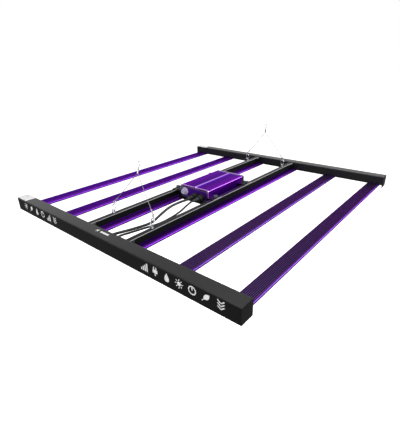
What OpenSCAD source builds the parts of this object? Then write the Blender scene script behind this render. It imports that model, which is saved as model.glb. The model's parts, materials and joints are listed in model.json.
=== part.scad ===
// Hanging LED grow light: six finned bars between two cross beams, a power
// supply on two carrier rails, and two wire hangers with snap hooks.
// +X runs along the cross beams, +Y from the front beam to the back beam.
// The origin is at the centre of the footprint, on the undersides of the beams.

/* [Overall] */
// Length of each cross beam
beam_len = 1035; // [900:5:1300]
// Front face of the front beam to back face of the back beam
fixture_depth = 1107; // [900:1:1400]

/* [Cross beams] */
// Width of a beam
beam_w = 44; // [38:1:60]
// Height of a beam
beam_h = 47; // [44:1:60]
// Sheet thickness of a beam
beam_wall = 2; // [1.2:0.1:3]
// Height of the inner wall, measured down from the beam's top
inner_wall_h = 35.5; // [32:0.5:38]
// Radius of a beam's upper edges
beam_edge_r = 2.5; // [1:0.5:4]
// Thickness of an end cap
cap_t = 2; // [1:0.5:4]
// How far an end cap's lip reaches into the beam
cap_lip = 8; // [4:1:15]
// Thickness of the cover over the wiring space
cover_t = 1.5; // [1:0.1:2]
// Length of a rating label
label_len = 58; // [30:1:80]
// Width of a rating label
label_w = 38; // [20:1:38]
// Thickness of a rating label
label_t = 0.3; // [0.2:0.1:0.5]

/* [LED bars] */
// Distance between neighbouring bars
bar_pitch = 192.3; // [150:0.1:205]
// Width of a bar
bar_w = 44; // [36:1:50]
// Height of a bar's solid base
bar_base_h = 7; // [6:0.5:9]
// Height of the cooling fins above the base
fin_h = 6; // [3:0.5:7]
// Thickness of a fin
fin_t = 1.6; // [1:0.1:2]
// Number of fins
fin_count = 9; // [7:2:9]
// Inset of the outer fins from the bar's sides
fin_inset = 1.5; // [1:0.5:3]
// Radius of the base's upper edges
bar_edge_r = 2.5; // [1:0.5:3]
// Height of the bars above the beam's underside
bar_lift = 2.5; // [2:0.5:4]
// Thickness of an LED board
board_t = 1.6; // [1:0.1:2]
// Thickness of the clear lens strip
lens_t = 1.8; // [1.5:0.1:2]
// Shank diameter of the screws that hold the bars
bar_screw_d = 3; // [2.5:0.5:3]

/* [Carrier rails] */
// Width of a rail
rail_w = 20; // [18:1:28]
// Height of a rail
rail_h = 23; // [21:1:26]
// Sheet thickness of a rail
rail_wall = 2; // [1.5:0.1:2.5]
// Top of the rails below the top of the beams
rail_drop = 2; // [1:0.5:4]
// Diameter of the rail bolts
rail_bolt_d = 5; // [4:0.5:5]

/* [Power supply] */
// Width of the power supply
driver_w = 139; // [118:1:145]
// Length of the power supply
driver_len = 224; // [186:1:300]
// Height of the power supply
driver_h = 45; // [43:1:60]
// Wall of its extruded case
driver_wall = 3; // [2.5:0.1:4]
// Underside of the power supply above the beam's underside
driver_lift = 25; // [22:1:30]
// Centre of the power supply behind the fixture's centre
driver_shift = 3; // [-100:1:100]
// Thickness of its end plates
plate_t = 3; // [2:0.5:4]
// How far the front plate sits inside the case
plate_inset = 3; // [1:0.5:5]
// Thickness of the cap over the case's back end
back_cap_t = 14; // [5:0.5:16]
// Length of a mounting strap along the rails
strap_len = 46; // [30:1:60]
// Sheet thickness of the straps
strap_t = 2; // [1.5:0.1:2.5]
// Diameter of a thumb screw's head
thumb_d = 15; // [12:1:18]

/* [Controls and connectors] */
// Diameter of the dimmer knob
knob_d = 19; // [14:1:24]
// Height of the dimmer knob
knob_h = 13; // [8:1:16]
// Diameter of the dial plate behind the knob
dial_d = 30; // [24:1:30]
// Outside diameter of a coupling nut
nut_d = 23; // [20:0.5:26]
// Diameter of a connector body
socket_d = 16; // [12:0.5:17]
// Diameter of the left output lead
left_lead_d = 9; // [5:0.5:10]
// Diameter of the right output lead
right_lead_d = 7; // [5:0.5:10]

/* [Hangers] */
// Distance of the hanging eyes from the fixture's end faces
hang_inset = 139; // [90:1:200]
// Hinge line of a hanger to the crimp where its legs meet
leg_rise = 146; // [110:1:200]
// Lean of the front hanger towards the middle, in degrees
front_lean = 17; // [0:1:30]
// Lean of the back hanger towards the middle, in degrees
back_lean = 2; // [0:1:30]
// Diameter of the wire rope
rope_d = 2; // [1.5:0.1:2.1]
// Diameter of the wire of a snap hook
hook_wire_d = 3.2; // [3:0.1:3.5]
// Straight length of a snap hook's side
hook_straight = 12.5; // [11:0.5:20]

/* [Hidden] */
$fn = 48;
eps = 0.01;
fit = 0.2;            // clearance between a part and the pocket it sits in
running_fit = 0.06;   // radial clearance of a turning part
crimp_fit = 0.05;     // radial clearance of a rope in its sleeve
steel = "#c9ccd0";
black = "#1b1b1d";
dark = "#2a2a2d";
violet = "#4a1590";
plastic = "#141416";
pale = "#e9e9ec";

end_y = fixture_depth / 2;
rest_lip = 8;         // how far the outer wall's bottom edge turns inwards
inner_y = end_y - beam_w;
beam_y = end_y - beam_w / 2;
housing_len = beam_len - 2 * cap_t;

bar_x = [for (i = [-2.5 : 1 : 2.5]) i * bar_pitch];
bar_top = bar_lift + bar_base_h + fin_h;
bar_gap = 2;
bar_len = fixture_depth - 2 * (beam_wall + bar_gap);
recess_h = board_t + lens_t + 0.2;
recess_w = bar_w - 10;
fin_pitch = (bar_w - 2 * fin_inset - fin_t) / (fin_count - 1);
screw_x = 1.5 * fin_pitch;
notch_top = bar_top + 0.5;
cover_z = notch_top;
board_len = 2 * inner_y - 8;
lens_len = board_len + 2;

rail_x = bar_pitch / 2;
rail_top = beam_h - rail_drop;
rail_bottom = rail_top - rail_h;
rail_bolt_z = rail_top - 6.5;
rail_bolt_y = inner_y - 13;
bracket_t = 2;
bracket_leg = 24;

eye_r = 5.6;
eye_wire_r = 1.6;
eye_z = rail_top + eye_r + eye_wire_r + 0.1;
eye_shank_r = 2.5;
hang_y = end_y - hang_inset;

driver_top = driver_lift + driver_h;
driver_front = driver_shift - driver_len / 2;
driver_back = driver_shift + driver_len / 2;
slot_h = 4;
skin_t = 2;
rib_x = 3;
rib_w = 8;
cavity_h = driver_h - driver_wall - 2 * skin_t - slot_h;
cavity_w = driver_w - 2 * driver_wall;
cavity_mid = driver_lift + driver_wall + cavity_h / 2;
plate_front = driver_front + plate_inset;
cap_back = driver_back + back_cap_t;
strap_reach = 12;     // front strap beyond the case's front
strap_past_cap = 4;   // back strap beyond the back cap
strap_front_y = driver_front - strap_reach;
strap_back_y = cap_back + strap_past_cap - strap_len;
strap_z = driver_lift - strap_t;
strap_side = driver_w / 2 + 0.3;
strap_lip_h = 8;
thumb_r = 3;

ledge_h = 3;
ledge_w = 4;
pcb_t = 1.6;
pcb_z = driver_lift + driver_wall + ledge_h;
pcb_top = pcb_z + pcb_t;
pcb_w = cavity_w - 1;
pcb_len = driver_len - 28;
part_room = cavity_mid + cavity_h / 2 - pcb_top - 3.4; // height for the tallest part

socket_x = [11, 40];
socket_z = driver_lift + 15;
socket_r = socket_d / 2;
socket_reach = 16;
lead_r = [left_lead_d / 2, right_lead_d / 2];
nut_len = 21;
boot_end = plate_front - 57;
knob_x = 20.5 - driver_w / 2;
knob_z = driver_lift + 20.5;
shaft_r = 3;

gland_x = [8, 32];
gland_z = 30;
gland_r = 7.5;
gland_reach = 6;

hook_r = 6.5;
hook_wire = hook_wire_d / 2;
shoulder_v = hook_r + hook_straight;
hook_eye_r = 3.8;
hook_eye_v = shoulder_v + hook_r + 2 * hook_wire + hook_eye_r + 0.2;
gate_v = shoulder_v - 2;
gate_pin_r = 0.7;
rope_r = rope_d / 2;
ferrule_r = 3;
ferrule_len = 11;
loop_r = 5;
loop_v = leg_rise + ferrule_len + 23;

// Routes of the two output leads, from the boots on the power supply to the
// glands of the front beam. They hang free and were set by hand.
lead_left_route = [[11, -163, 40], [11, -174, 40], [6, -200, 39], [4, -245, 36], [12, -290, 31],
    [22, -325, 28], [31, -352, 27], [33, -378, 27], [28, -405, 27], [21, -440, 28], [13, -470, 29],
    [8, -493, 30], [8, -503.5, 30]];
lead_right_route = [[40, -163, 40], [40, -174, 40], [46, -205, 37], [55, -245, 33], [60, -285, 30],
    [61, -325, 28], [58, -358, 27], [52, -385, 27], [45, -418, 28], [38, -455, 29], [33, -480, 30],
    [32, -494, 30], [32, -503.5, 30]];

// ---- helpers ----

// A box given by its lowest corner and its size
module box(low, size) {
    translate(low) cube(size);
}

// A cylinder from one point to another
module rod(a, b, r) {
    d = b - a;
    translate(a)
        rotate([0, acos(d[2] / norm(d)), atan2(d[1], d[0])])
            cylinder(h = norm(d), r = r);
}

// A ring whose hole runs along Y, from one angle to another in the XZ plane
module ring_arc(centre, ring_r, wire_r, from = 0, sweep = 360) {
    translate(centre)
        rotate([90, 0, 0])
            rotate([0, 0, from])
                rotate_extrude(angle = sweep)
                    translate([ring_r, 0]) circle(r = wire_r);
}

// A point at fraction t between p[i] and p[i + 1] on a smooth curve through p
function on_curve(p, i, t) =
    let (
        n = len(p) - 1,
        a = p[max(i - 1, 0)],
        b = p[i],
        c = p[i + 1],
        d = p[min(i + 2, n)]
    )
    0.5 * (2 * b + (c - a) * t + (2 * a - 5 * b + 4 * c - d) * t * t
        + (3 * b - a - 3 * c + d) * t * t * t);

function smooth_route(p, steps) = concat(
    [for (i = [0 : len(p) - 2]) for (k = [0 : steps - 1]) on_curve(p, i, k / steps)],
    [p[len(p) - 1]]
);

// The route p with its two ends moved to the given points
function between(p, start, end) =
    let (last = p[len(p) - 1])
    [for (q = p)
        let (t = (q[1] - p[0][1]) / (last[1] - p[0][1]))
        q + (1 - t) * (start - p[0]) + t * (end - last)];

function unit(v) = v / norm(v);

// A round tube of radius r along points p, as one closed mesh
module tube(p, r, sides = 10) {
    n = len(p);
    tangents = [for (i = [0 : n - 1]) i == 0 || i == n - 1 ? [0, -1, 0] : unit(p[i + 1] - p[i - 1])];
    sideways = [for (t = tangents) unit(cross(t, [0, 0, 1]))];
    upwards = [for (i = [0 : n - 1]) cross(sideways[i], tangents[i])];
    points = [for (i = [0 : n - 1]) for (k = [0 : sides - 1])
        p[i] + r * (cos(360 * k / sides) * sideways[i] + sin(360 * k / sides) * upwards[i])];
    walls = [for (i = [0 : n - 2]) for (k = [0 : sides - 1])
        [i * sides + k, i * sides + (k + 1) % sides,
            (i + 1) * sides + (k + 1) % sides, (i + 1) * sides + k]];
    first = [for (k = [sides - 1 : -1 : 0]) k];
    last = [for (k = [0 : sides - 1]) (n - 1) * sides + k];
    polyhedron(points, concat(walls, [first], [last]));
}

// Turns what is drawn for the front end round to the back end as well
module both_ends() {
    children();
    mirror([0, 1, 0]) children();
}

module both_sides() {
    children();
    mirror([1, 0, 0]) children();
}

// ---- cross beams ----

// Outline of a beam's end: upper edges rounded, in Y and Z
module beam_outline() {
    translate([-end_y, 0]) square([beam_w, beam_h - beam_edge_r]);
    translate([-end_y + beam_edge_r, 0]) square([beam_w - 2 * beam_edge_r, beam_h]);
    for (y = [-end_y + beam_edge_r, -inner_y - beam_edge_r])
        translate([y, beam_h - beam_edge_r]) circle(r = beam_edge_r);
}

// Extrudes an outline in Y and Z from x0 along +X
module along_x(x0, length) {
    translate([x0, 0, 0])
        rotate([90, 0, 90]) linear_extrude(height = length) children();
}

// One beam at the front, open below, with a shorter inner wall
module beam_shell() {
    difference() {
        along_x(-housing_len / 2, housing_len)
            difference() {
                beam_outline();
                translate([-end_y + beam_wall, beam_wall])
                    square([beam_w - 2 * beam_wall, beam_h - 2 * beam_wall]);
                translate([-end_y + beam_wall + rest_lip, -eps])
                    square([beam_w, beam_wall + 2 * eps]);
                translate([-inner_y - beam_wall - eps, -eps])
                    square([beam_wall + 2 * eps, beam_h - inner_wall_h + eps]);
            }
        for (x = bar_x)
            box([x - bar_w / 2 - 0.5, -inner_y - beam_wall - eps, 0],
                [bar_w + 1, beam_wall + 2 * eps, notch_top]);
        for (x = [-rail_x, rail_x])
            translate([x, -inner_y + eps, rail_bolt_z])
                rotate([90, 0, 0]) cylinder(h = beam_wall + 2 * eps, r = rail_bolt_d / 2 + 0.1);
    }
}

module front_beam() {
    color(dark)
        difference() {
            beam_shell();
            for (x = gland_x)
                translate([x, -inner_y + eps, gland_z])
                    rotate([90, 0, 0]) cylinder(h = beam_wall + 2 * eps, r = gland_r - 1.5);
        }
}

module back_beam() {
    color(dark) mirror([0, 1, 0]) beam_shell();
}

// A plate that closes a beam's end, with a lip on three sides inside the walls
module end_cap() {
    inside_w = beam_w - 2 * beam_wall - 2 * fit;
    along_x(housing_len / 2, cap_t) beam_outline();
    difference() {
        box([housing_len / 2 - cap_lip, -end_y + beam_wall + fit, cover_z + cover_t + 1],
            [cap_lip + eps, inside_w, beam_h - beam_wall - fit - cover_z - cover_t - 1]);
        box([housing_len / 2 - cap_lip - eps, -end_y + beam_wall + fit + 2, cover_z],
            [cap_lip - 2, inside_w - 4, beam_h - beam_wall - fit - cover_z - 2]);
    }
}

module end_caps() {
    color(dark) both_ends() both_sides() end_cap();
}

// A shallow tray that closes the wiring space above the bars' ends
module wiring_cover() {
    inside_w = beam_w - 2 * beam_wall;
    lip_h = 7;
    cover_len = housing_len - 2 * cap_lip - 2;
    difference() {
        box([-cover_len / 2, -end_y + beam_wall, cover_z], [cover_len, inside_w, lip_h]);
        box([-cover_len / 2 - eps, -end_y + beam_wall + cover_t, cover_z + cover_t],
            [cover_len + 2 * eps, inside_w - 2 * cover_t, lip_h]);
        for (x = bar_x)
            for (side = [-1, 1])
                translate([x + side * screw_x, -beam_y, cover_z - eps])
                    cylinder(h = cover_t + 2 * eps, r = bar_screw_d / 2 + running_fit);
    }
}

module wiring_covers() {
    color("#8d9094") both_ends() wiring_cover();
}

module rating_labels() {
    color(pale)
        both_ends()
            box([-beam_len / 2 + 5, -beam_y - label_w / 2, beam_h], [label_len, label_w, label_t]);
}

// ---- LED bars ----

// Cross-section of a bar: rounded base, recess for the board below, fins above
module bar_profile() {
    base_top = bar_lift + bar_base_h;
    difference() {
        union() {
            translate([-bar_w / 2, bar_lift]) square([bar_w, bar_base_h - bar_edge_r]);
            translate([-bar_w / 2 + bar_edge_r, bar_lift]) square([bar_w - 2 * bar_edge_r, bar_base_h]);
            for (side = [-1, 1])
                translate([side * (bar_w / 2 - bar_edge_r), base_top - bar_edge_r])
                    circle(r = bar_edge_r);
            for (i = [0 : fin_count - 1])
                translate([-bar_w / 2 + fin_inset + i * fin_pitch, base_top - bar_edge_r])
                    square([fin_t, fin_h + bar_edge_r]);
        }
        translate([-recess_w / 2, bar_lift - eps]) square([recess_w, recess_h + eps]);
        for (side = [-1, 1])
            translate([side * bar_w / 2 - 0.6, bar_lift + 1.2]) square([1.2, 0.8]);
    }
}

module led_bar(i) {
    color(violet)
        difference() {
            translate([bar_x[i - 1], bar_len / 2, 0])
                rotate([90, 0, 0]) linear_extrude(height = bar_len) bar_profile();
            for (side = [-1, 1], end = [-1, 1])
                translate([bar_x[i - 1] + side * screw_x, end * beam_y, bar_lift])
                    cylinder(h = bar_base_h + eps, r = bar_screw_d / 2 + 0.15);
        }
}

module led_board(i) {
    board_w = recess_w - 2 * fit;
    color("#f1f1ee")
        box([bar_x[i - 1] - board_w / 2, -board_len / 2, bar_lift + recess_h - board_t],
            [board_w, board_len, board_t]);
}

// Clear strips under the boards, hollowed above for the chips
module lens_strips() {
    lens_w = recess_w - 2 * fit;
    lens_top = bar_lift + recess_h - board_t;
    color("#dfe6ea")
        for (x = bar_x)
            difference() {
                box([x - lens_w / 2, -board_len / 2, lens_top - lens_t], [lens_w, board_len, lens_t]);
                box([x - lens_w / 2 + 3, -board_len / 2 + 3, lens_top - 0.8],
                    [lens_w - 6, board_len - 6, 1]);
            }
}

// Pan-head screws that hang each bar end from the wiring cover
module bar_screws() {
    head_r = 2.8;
    head_h = 1.8;
    seat_z = bar_lift + recess_h;
    color(steel)
        both_ends()
            for (x = bar_x, side = [-1, 1])
                translate([x + side * screw_x, -beam_y, 0]) {
                    translate([0, 0, seat_z - head_h]) cylinder(h = head_h, r = head_r);
                    translate([0, 0, seat_z - eps])
                        cylinder(h = cover_z + cover_t + 2 - seat_z, r = bar_screw_d / 2);
                }
}

// ---- carrier rails ----

// Cross-section of a rail: a channel open below, bent round its upper edges
module rail_profile() {
    half = rail_w / 2;
    bend = 1.4 * rail_wall;
    difference() {
        union() {
            translate([-half, rail_bottom]) square([rail_w, rail_h - bend]);
            translate([-half + bend, rail_bottom]) square([rail_w - 2 * bend, rail_h]);
            for (side = [-1, 1])
                translate([side * (half - bend), rail_top - bend]) circle(r = bend);
        }
        translate([-half + rail_wall, rail_bottom - eps])
            square([rail_w - 2 * rail_wall, rail_h - rail_wall + eps]);
    }
}

// A rail with a bolt hole at each end and holes in its top
module rail(x) {
    color(black)
        difference() {
            translate([x, inner_y, 0])
                rotate([90, 0, 0]) linear_extrude(height = 2 * inner_y) rail_profile();
            for (end = [-1, 1])
                translate([x + rail_w / 2 - rail_wall - eps, end * rail_bolt_y, rail_bolt_z])
                    rotate([0, 90, 0]) cylinder(h = rail_wall + 2 * eps, r = rail_bolt_d / 2 + 0.1);
            for (end = [-1, 1])
                translate([x, end * hang_y, rail_top - rail_wall - eps])
                    cylinder(h = rail_wall + 2 * eps, r = eye_shank_r + 0.1);
            for (y = [strap_front_y, strap_back_y])
                translate([x, y + strap_len / 2, rail_top - rail_wall - eps])
                    cylinder(h = rail_wall + 2 * eps, r = thumb_r + running_fit);
        }
}

// Angle bracket inside a rail's front end, bolted to the beam and to the rail
module rail_bracket(x) {
    inside = rail_w / 2 - rail_wall;
    height = rail_h - rail_wall - 1;
    difference() {
        union() {
            box([x - inside + fit, -inner_y, rail_bottom + 1 - fit],
                [2 * inside - fit, bracket_t, height]);
            box([x + inside - bracket_t, -inner_y, rail_bottom + 1 - fit],
                [bracket_t, bracket_leg, height]);
        }
        translate([x, -inner_y - eps, rail_bolt_z])
            rotate([-90, 0, 0]) cylinder(h = bracket_t + 2 * eps, r = rail_bolt_d / 2 + 0.1);
        translate([x + inside - bracket_t - eps, -rail_bolt_y, rail_bolt_z])
            rotate([0, 90, 0]) cylinder(h = bracket_t + 2 * eps, r = rail_bolt_d / 2 + 0.1);
    }
}

module rail_brackets() {
    color("#5c5e62")
        both_ends()
            for (x = [-rail_x, rail_x]) rail_bracket(x);
}

// A bolt drawn along +Z: domed head below its seat at z = 0, nut after the grip
module bolt(d, grip) {
    head_r = 0.85 * d;
    head_h = 0.55 * d;
    translate([0, 0, -head_h]) cylinder(h = head_h, r1 = head_r * 0.75, r2 = head_r);
    cylinder(h = grip + 0.9 * d, r = d / 2);
    translate([0, 0, grip]) cylinder(h = 0.7 * d, r = head_r * 0.95);
}

module rail_bolts() {
    color(steel)
        both_ends()
            for (x = [-rail_x, rail_x]) {
                translate([x + rail_w / 2, -rail_bolt_y, rail_bolt_z])
                    rotate([0, -90, 0]) bolt(rail_bolt_d, rail_wall + bracket_t);
                translate([x, -inner_y + bracket_t, rail_bolt_z])
                    rotate([90, 0, 0]) bolt(rail_bolt_d, bracket_t + beam_wall);
            }
}

// An eye with its hole along X, a collar on the rail and a nut under its top
module hanging_eye() {
    rotate([0, 0, 90]) ring_arc([0, 0, eye_z], eye_r, eye_wire_r);
    translate([0, 0, rail_top]) cylinder(h = 1.6, r = 4.5);
    translate([0, 0, rail_top - 8]) cylinder(h = 8 + eps, r = eye_shank_r);
    translate([0, 0, rail_top - rail_wall - 4]) cylinder(h = 4, r = 4.6);
}

module hanging_eyes() {
    color(steel)
        both_ends()
            for (x = [-rail_x, rail_x])
                translate([x, -hang_y, 0]) hanging_eye();
}

// ---- power supply ----

// Cross-section of the case: two flat air channels under the top skin, one large
// cavity below them, ledges for the circuit board and a raised rib near the centre
module case_profile() {
    corner = 5;
    foot = 2;
    half = driver_w / 2;
    slot_w = 0.55 * half;
    slot_x = 0.56 * half;
    slot_z = driver_top - skin_t - slot_h;
    cavity_z = driver_lift + driver_wall;
    difference() {
        union() {
            translate([-half, driver_lift + foot]) square([driver_w, driver_h - corner - foot]);
            translate([-half + foot, driver_lift]) square([driver_w - 2 * foot, driver_h - corner]);
            translate([-half + corner, driver_lift]) square([driver_w - 2 * corner, driver_h]);
            for (side = [-1, 1]) {
                translate([side * (half - corner), driver_top - corner]) circle(r = corner);
                translate([side * (half - foot), driver_lift + foot]) circle(r = foot);
            }
            translate([rib_x - rib_w / 2, driver_top - eps]) square([rib_w, 1.5]);
        }
        difference() {
            translate([-cavity_w / 2, cavity_z]) square([cavity_w, cavity_h]);
            for (side = [-1, 1])
                translate([side * (cavity_w / 2 - ledge_w / 2) - ledge_w / 2, cavity_z - eps])
                    square([ledge_w, ledge_h + eps]);
        }
        for (side = [-1, 1]) {
            translate([side * slot_x - slot_w / 2, slot_z]) square([slot_w, slot_h]);
            for (i = [1 : 5])
                translate([side * i * (half - corner) / 6 - 0.8, driver_top - 1]) square([1.6, 2]);
            for (i = [0 : 3])
                translate([side * half - 0.7, driver_lift + 8 + i * 8]) square([1.4, 2]);
        }
    }
}

module driver_case() {
    color("#5a18a8")
        difference() {
            translate([0, driver_back, 0])
                rotate([90, 0, 0]) linear_extrude(height = driver_len) case_profile();
            both_sides()
                for (y = [strap_front_y, strap_back_y])
                    translate([strap_screw_x(), y + strap_len / 2, driver_lift - eps])
                        cylinder(h = driver_wall + 2 * eps, r = 1.5 + 0.05);
        }
}

function strap_screw_x() = driver_w / 2 - 20;
function plate_screw_x() = cavity_w / 2 - 3.4;
function plate_screw_z() = cavity_mid + cavity_h / 2 - 3.4;

module driver_front_plate() {
    color("#4d1893")
        difference() {
            union() {
                box([-cavity_w / 2 + fit, plate_front, cavity_mid - cavity_h / 2 + ledge_h + fit],
                    [cavity_w - 2 * fit, plate_t, cavity_h - ledge_h - 2 * fit]);
                box([-cavity_w / 2 + ledge_w + fit, plate_front, cavity_mid - cavity_h / 2 + fit],
                    [cavity_w - 2 * ledge_w - 2 * fit, plate_t, ledge_h + 1]);
            }
            for (side = [-1, 1])
                translate([side * plate_screw_x(), plate_front - eps, plate_screw_z()])
                    rotate([-90, 0, 0]) cylinder(h = plate_t + 2 * eps, r = 1.6);
            for (x = socket_x)
                translate([x, plate_front - eps, socket_z])
                    rotate([-90, 0, 0]) cylinder(h = plate_t + 2 * eps, r = socket_r - 1);
            translate([knob_x, plate_front - eps, knob_z])
                rotate([-90, 0, 0]) cylinder(h = plate_t + 2 * eps, r = shaft_r + 0.5);
        }
}

// Cap that covers the whole back end of the case and holds the mains inlet
module driver_back_cap() {
    corner = 5;
    color(black)
        difference() {
            translate([0, cap_back, 0])
                rotate([90, 0, 0])
                    linear_extrude(height = back_cap_t) {
                        translate([-driver_w / 2, driver_lift]) square([driver_w, driver_h - corner]);
                        translate([-driver_w / 2 + corner, driver_lift])
                            square([driver_w - 2 * corner, driver_h]);
                        for (side = [-1, 1])
                            translate([side * (driver_w / 2 - corner), driver_top - corner])
                                circle(r = corner);
                    }
            box([-inlet_w() / 2, driver_back - eps, cavity_mid - inlet_h() / 2],
                [inlet_w(), back_cap_t + 2 * eps, inlet_h()]);
            for (side = [-1, 1]) {
                translate([side * plate_screw_x(), driver_back - eps, plate_screw_z()])
                    rotate([-90, 0, 0]) cylinder(h = back_cap_t + 2 * eps, r = 1.6);
                translate([side * inlet_screw_x(), driver_back - eps, cavity_mid])
                    rotate([-90, 0, 0]) cylinder(h = back_cap_t + 2 * eps, r = 1.6);
            }
        }
}

function inlet_w() = 27;
function inlet_h() = 20;
function inlet_screw_x() = 20;

// Screws of the front plate, the back cap, the mains inlet and the straps
module driver_screws() {
    color(steel)
        for (side = [-1, 1]) {
            translate([side * plate_screw_x(), plate_front, plate_screw_z()])
                rotate([-90, 0, 0]) small_screw(plate_t + 3);
            translate([side * plate_screw_x(), cap_back, plate_screw_z()])
                rotate([90, 0, 0]) small_screw(back_cap_t + 4);
            translate([side * inlet_screw_x(), cap_back + inlet_flange(), cavity_mid])
                rotate([90, 0, 0]) small_screw(inlet_flange() + back_cap_t);
            for (y = [strap_front_y, strap_back_y])
                translate([side * strap_screw_x(), y + strap_len / 2, strap_z])
                    small_screw(strap_t + driver_wall);
        }
}

// A small screw drawn along +Z, its head below z = 0
module small_screw(shank) {
    translate([0, 0, -1.6]) cylinder(h = 1.6, r = 2.9);
    translate([0, 0, -eps]) cylinder(h = shank + eps, r = 1.5);
}

// Hat-shaped strap under the case, its ears on the tops of the rails
module strap(y, lip_y) {
    ear = rail_x + rail_w / 2;
    color(black)
        difference() {
            union() {
                box([-strap_side, y, strap_z], [2 * strap_side, strap_len, strap_t]);
                both_sides() {
                    box([strap_side, y, strap_z], [strap_t, strap_len, rail_top + strap_t - strap_z]);
                    box([strap_side, y, rail_top], [ear - strap_side, strap_len, strap_t]);
                }
                box([-strap_side, lip_y, strap_z - strap_lip_h],
                    [2 * strap_side, strap_t, strap_lip_h + eps]);
            }
            both_sides() {
                translate([rail_x, y + strap_len / 2, rail_top - eps])
                    cylinder(h = strap_t + 2 * eps, r = thumb_r + 0.3);
                translate([strap_screw_x(), y + strap_len / 2, strap_z - eps])
                    cylinder(h = strap_t + 2 * eps, r = 1.7);
            }
        }
}

module strap_front() {
    strap(strap_front_y, strap_front_y);
}

module strap_back() {
    strap(strap_back_y, strap_back_y + strap_len - strap_t);
}

// Knurled thumb screw through a strap's ear into the rail
module thumb_screw(x, y) {
    grooves = 18;
    head_z = rail_top + strap_t;
    color("#b9bbbf")
        translate([x, y + strap_len / 2, 0]) {
            difference() {
                translate([0, 0, head_z + 1.5]) cylinder(h = 7, r = thumb_d / 2);
                for (a = [0 : 360 / grooves : 359])
                    rotate([0, 0, a])
                        translate([thumb_d / 2 + 0.5, 0, head_z + 1.5 - eps])
                            cylinder(h = 7 + 2 * eps, r = 1, $fn = 16);
            }
            translate([0, 0, head_z + 0.05]) cylinder(h = 1.5, r = thumb_d / 2 - 3);
            translate([0, 0, rail_top - rail_wall - 5]) cylinder(h = head_z - rail_top + rail_wall + 6, r = thumb_r);
        }
}

module driver_board() {
    color("#1d6b3a")
        difference() {
            box([-pcb_w / 2, driver_shift - pcb_len / 2, pcb_z], [pcb_w, pcb_len, pcb_t]);
            for (end = [-1, 1])
                translate([0, driver_shift + end * (pcb_len / 2 - 12), pcb_z - eps])
                    cylinder(h = pcb_t + 2 * eps, r = 2);
        }
}

// Transformer, filter coils, storage capacitors and switching devices
module driver_components() {
    y0 = driver_shift;
    color("#303236") {
        box([-24, y0 - 24, pcb_top], [42, 38, part_room - 2]);
        box([32, y0 - 50, pcb_top], [16, 60, part_room - 8]);
        box([12.5 - cavity_w / 2, y0 + 50, pcb_top], [28, 26, part_room - 6]);
        translate([12, y0 + 62, pcb_top])
            difference() {
                cylinder(h = part_room - 12, r = 14);
                translate([0, 0, -eps]) cylinder(h = part_room - 12 + 2 * eps, r = 6);
            }
        for (k = [0 : 2])
            translate([20.5 - cavity_w / 2, y0 - 44 + k * 24, pcb_top]) cylinder(h = part_room, r = 9);
        for (k = [0 : 3])
            box([34, y0 + 22 + k * 14, pcb_top], [5, 10, part_room - 11]);
    }
}

// ---- controls and connectors ----

// Knob with grip flutes and a pointer notch, its axis along -Y
module dimmer_knob() {
    flutes = 12;
    base_y = plate_front - 1.6;
    color(plastic)
        translate([knob_x, base_y, knob_z])
            rotate([90, 0, 0])
                difference() {
                    cylinder(h = knob_h, r = knob_d / 2);
                    for (a = [0 : 360 / flutes : 359])
                        rotate([0, 0, a])
                            translate([knob_d / 2 + 0.7, 0, 2])
                                cylinder(h = knob_h, r = 1.4, $fn = 16);
                    translate([0, 0, -eps]) cylinder(h = knob_h - 3, r = shaft_r);
                    translate([-0.6, 1.5, knob_h - 0.8]) cube([1.2, knob_d / 2, 1]);
                }
}

module dimmer_shaft() {
    color(steel)
        translate([knob_x, plate_front + plate_t + 9, knob_z])
            rotate([90, 0, 0]) cylinder(h = plate_t + 9 + 1.6 + knob_h - 3, r = shaft_r);
}

module dimmer_pot() {
    color("#2b4c8c")
        translate([knob_x, plate_front + plate_t, knob_z])
            rotate([-90, 0, 0])
                difference() {
                    cylinder(h = 10, r = 8);
                    translate([0, 0, -eps]) cylinder(h = 9 + 2 * eps, r = shaft_r + running_fit);
                }
}

module dial_plate() {
    color(pale)
        translate([knob_x, plate_front, knob_z])
            rotate([90, 0, 0])
                difference() {
                    cylinder(h = 1, r = dial_d / 2);
                    translate([0, 0, -eps]) cylinder(h = 1 + 2 * eps, r = shaft_r + 0.5);
                }
}

module output_sockets() {
    color(plastic)
        for (x = socket_x)
            translate([x, plate_front, socket_z])
                rotate([90, 0, 0]) {
                    cylinder(h = 3, r = nut_d / 2 - 0.5);
                    cylinder(h = socket_reach, r = socket_r);
                    translate([0, 0, -plate_t - 8]) cylinder(h = plate_t + 8 + eps, r = socket_r - 1.2);
                }
}

// Ring nut that turns on a socket and holds the lead's plug
module coupling_nut(x) {
    ribs = 20;
    color(plastic)
        translate([x, plate_front - 5, socket_z])
            rotate([90, 0, 0])
                difference() {
                    cylinder(h = nut_len, r = nut_d / 2);
                    translate([0, 0, -eps]) cylinder(h = nut_len + 2 * eps, r = socket_r + running_fit);
                    for (a = [0 : 360 / ribs : 359])
                        rotate([0, 0, a])
                            translate([nut_d / 2 + 0.4, 0, 3])
                                cylinder(h = nut_len - 6, r = 1, $fn = 16);
                }
}

// Moulded plugs of the two leads, tapering to the lead
module lead_boots() {
    body = 14;
    start = plate_front - socket_reach - 0.2;
    color(plastic)
        for (i = [0, 1])
            translate([socket_x[i], start, socket_z])
                rotate([90, 0, 0]) {
                    cylinder(h = body, r = socket_r);
                    translate([0, 0, body - eps])
                        cylinder(h = start - boot_end - body + eps, r1 = socket_r, r2 = lead_r[i] + 0.8);
                }
}

function inlet_flange() = 2.5;

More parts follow.
